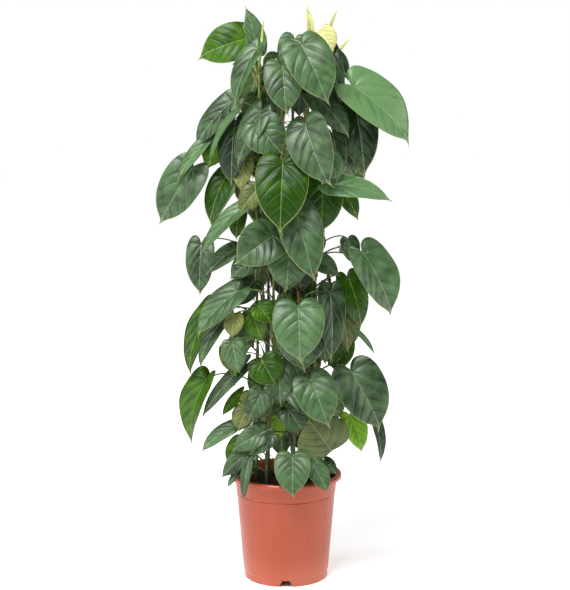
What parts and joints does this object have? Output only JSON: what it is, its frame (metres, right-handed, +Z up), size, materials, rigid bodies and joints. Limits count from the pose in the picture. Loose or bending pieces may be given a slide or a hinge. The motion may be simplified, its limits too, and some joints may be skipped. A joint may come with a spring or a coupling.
{
  "type": "potted philodendron",
  "caption": "Heart-leaf climbing houseplant trained up an open column of coated stakes, rooted in soil in a round plastic nursery pot.",
  "frame": {"origin": "centre of the overall bounding box at the floor, which is the middle of the pot's foot", "axes": "+Z up the column, +X to the right seen from the front, -Y towards the front"},
  "size_m": [0.5335, 0.3524, 1.228],
  "materials": {
    "pot_plastic": "moulded terracotta-coloured polypropylene, satin",
    "peat_soil": "dark peat potting soil, loose and matte",
    "stake_coating": "dark green plastic coating over steel wire and tube",
    "stem_skin": "living green stem skin, waxy",
    "leaf_mature": "living leaf, dark green, waxy sheen",
    "leaf_vivid": "living leaf, bright green, waxy sheen",
    "leaf_bronze": "living young leaf, bronze green with a reddish margin"
  },
  "bodies": {
    "root": {"pot": "pot_plastic", "soil": "peat_soil", "stake_1": "stake_coating", "stake_2": "stake_coating", "stake_3": "stake_coating", "stake_4": "stake_coating", "stake_5": "stake_coating", "hoop_1": "stake_coating", "hoop_2": "stake_coating", "hoop_3": "stake_coating", "hoop_4": "stake_coating", "vine_1": "stem_skin", "vine_2": "stem_skin", "vine_3": "stem_skin", "vine_4": "stem_skin", "vine_5": "stem_skin", "vine_6": "stem_skin", "vine_7": "stem_skin", "leaf_01": "leaf_mature", "leaf_02": "leaf_mature", "leaf_03": "leaf_mature", "leaf_04": "leaf_mature", "leaf_05": "leaf_mature", "leaf_06": "leaf_vivid", "leaf_07": "leaf_mature", "leaf_08": "leaf_mature", "leaf_09": "leaf_mature", "leaf_10": "leaf_mature", "leaf_11": "leaf_mature", "leaf_12": "leaf_mature", "leaf_13": "leaf_mature", "leaf_14": "leaf_mature", "leaf_15": "leaf_mature", "leaf_16": "leaf_vivid", "leaf_17": "leaf_mature", "leaf_18": "leaf_mature", "leaf_19": "leaf_vivid", "leaf_20": "leaf_mature", "leaf_21": "leaf_mature", "leaf_22": "leaf_mature", "leaf_23": "leaf_mature", "leaf_24": "leaf_vivid", "leaf_25": "leaf_bronze", "leaf_26": "leaf_vivid", "leaf_27": "leaf_mature", "leaf_28": "leaf_mature", "leaf_29": "leaf_mature", "leaf_30": "leaf_mature", "leaf_31": "leaf_vivid", "leaf_32": "leaf_mature", "leaf_33": "leaf_mature", "leaf_34": "leaf_mature", "leaf_35": "leaf_mature", "leaf_36": "leaf_vivid", "leaf_37": "leaf_mature", "leaf_38": "leaf_mature", "leaf_39": "leaf_mature", "leaf_40": "leaf_mature", "leaf_41": "leaf_mature", "leaf_42": "leaf_mature"}
  },
  "joints": []
}
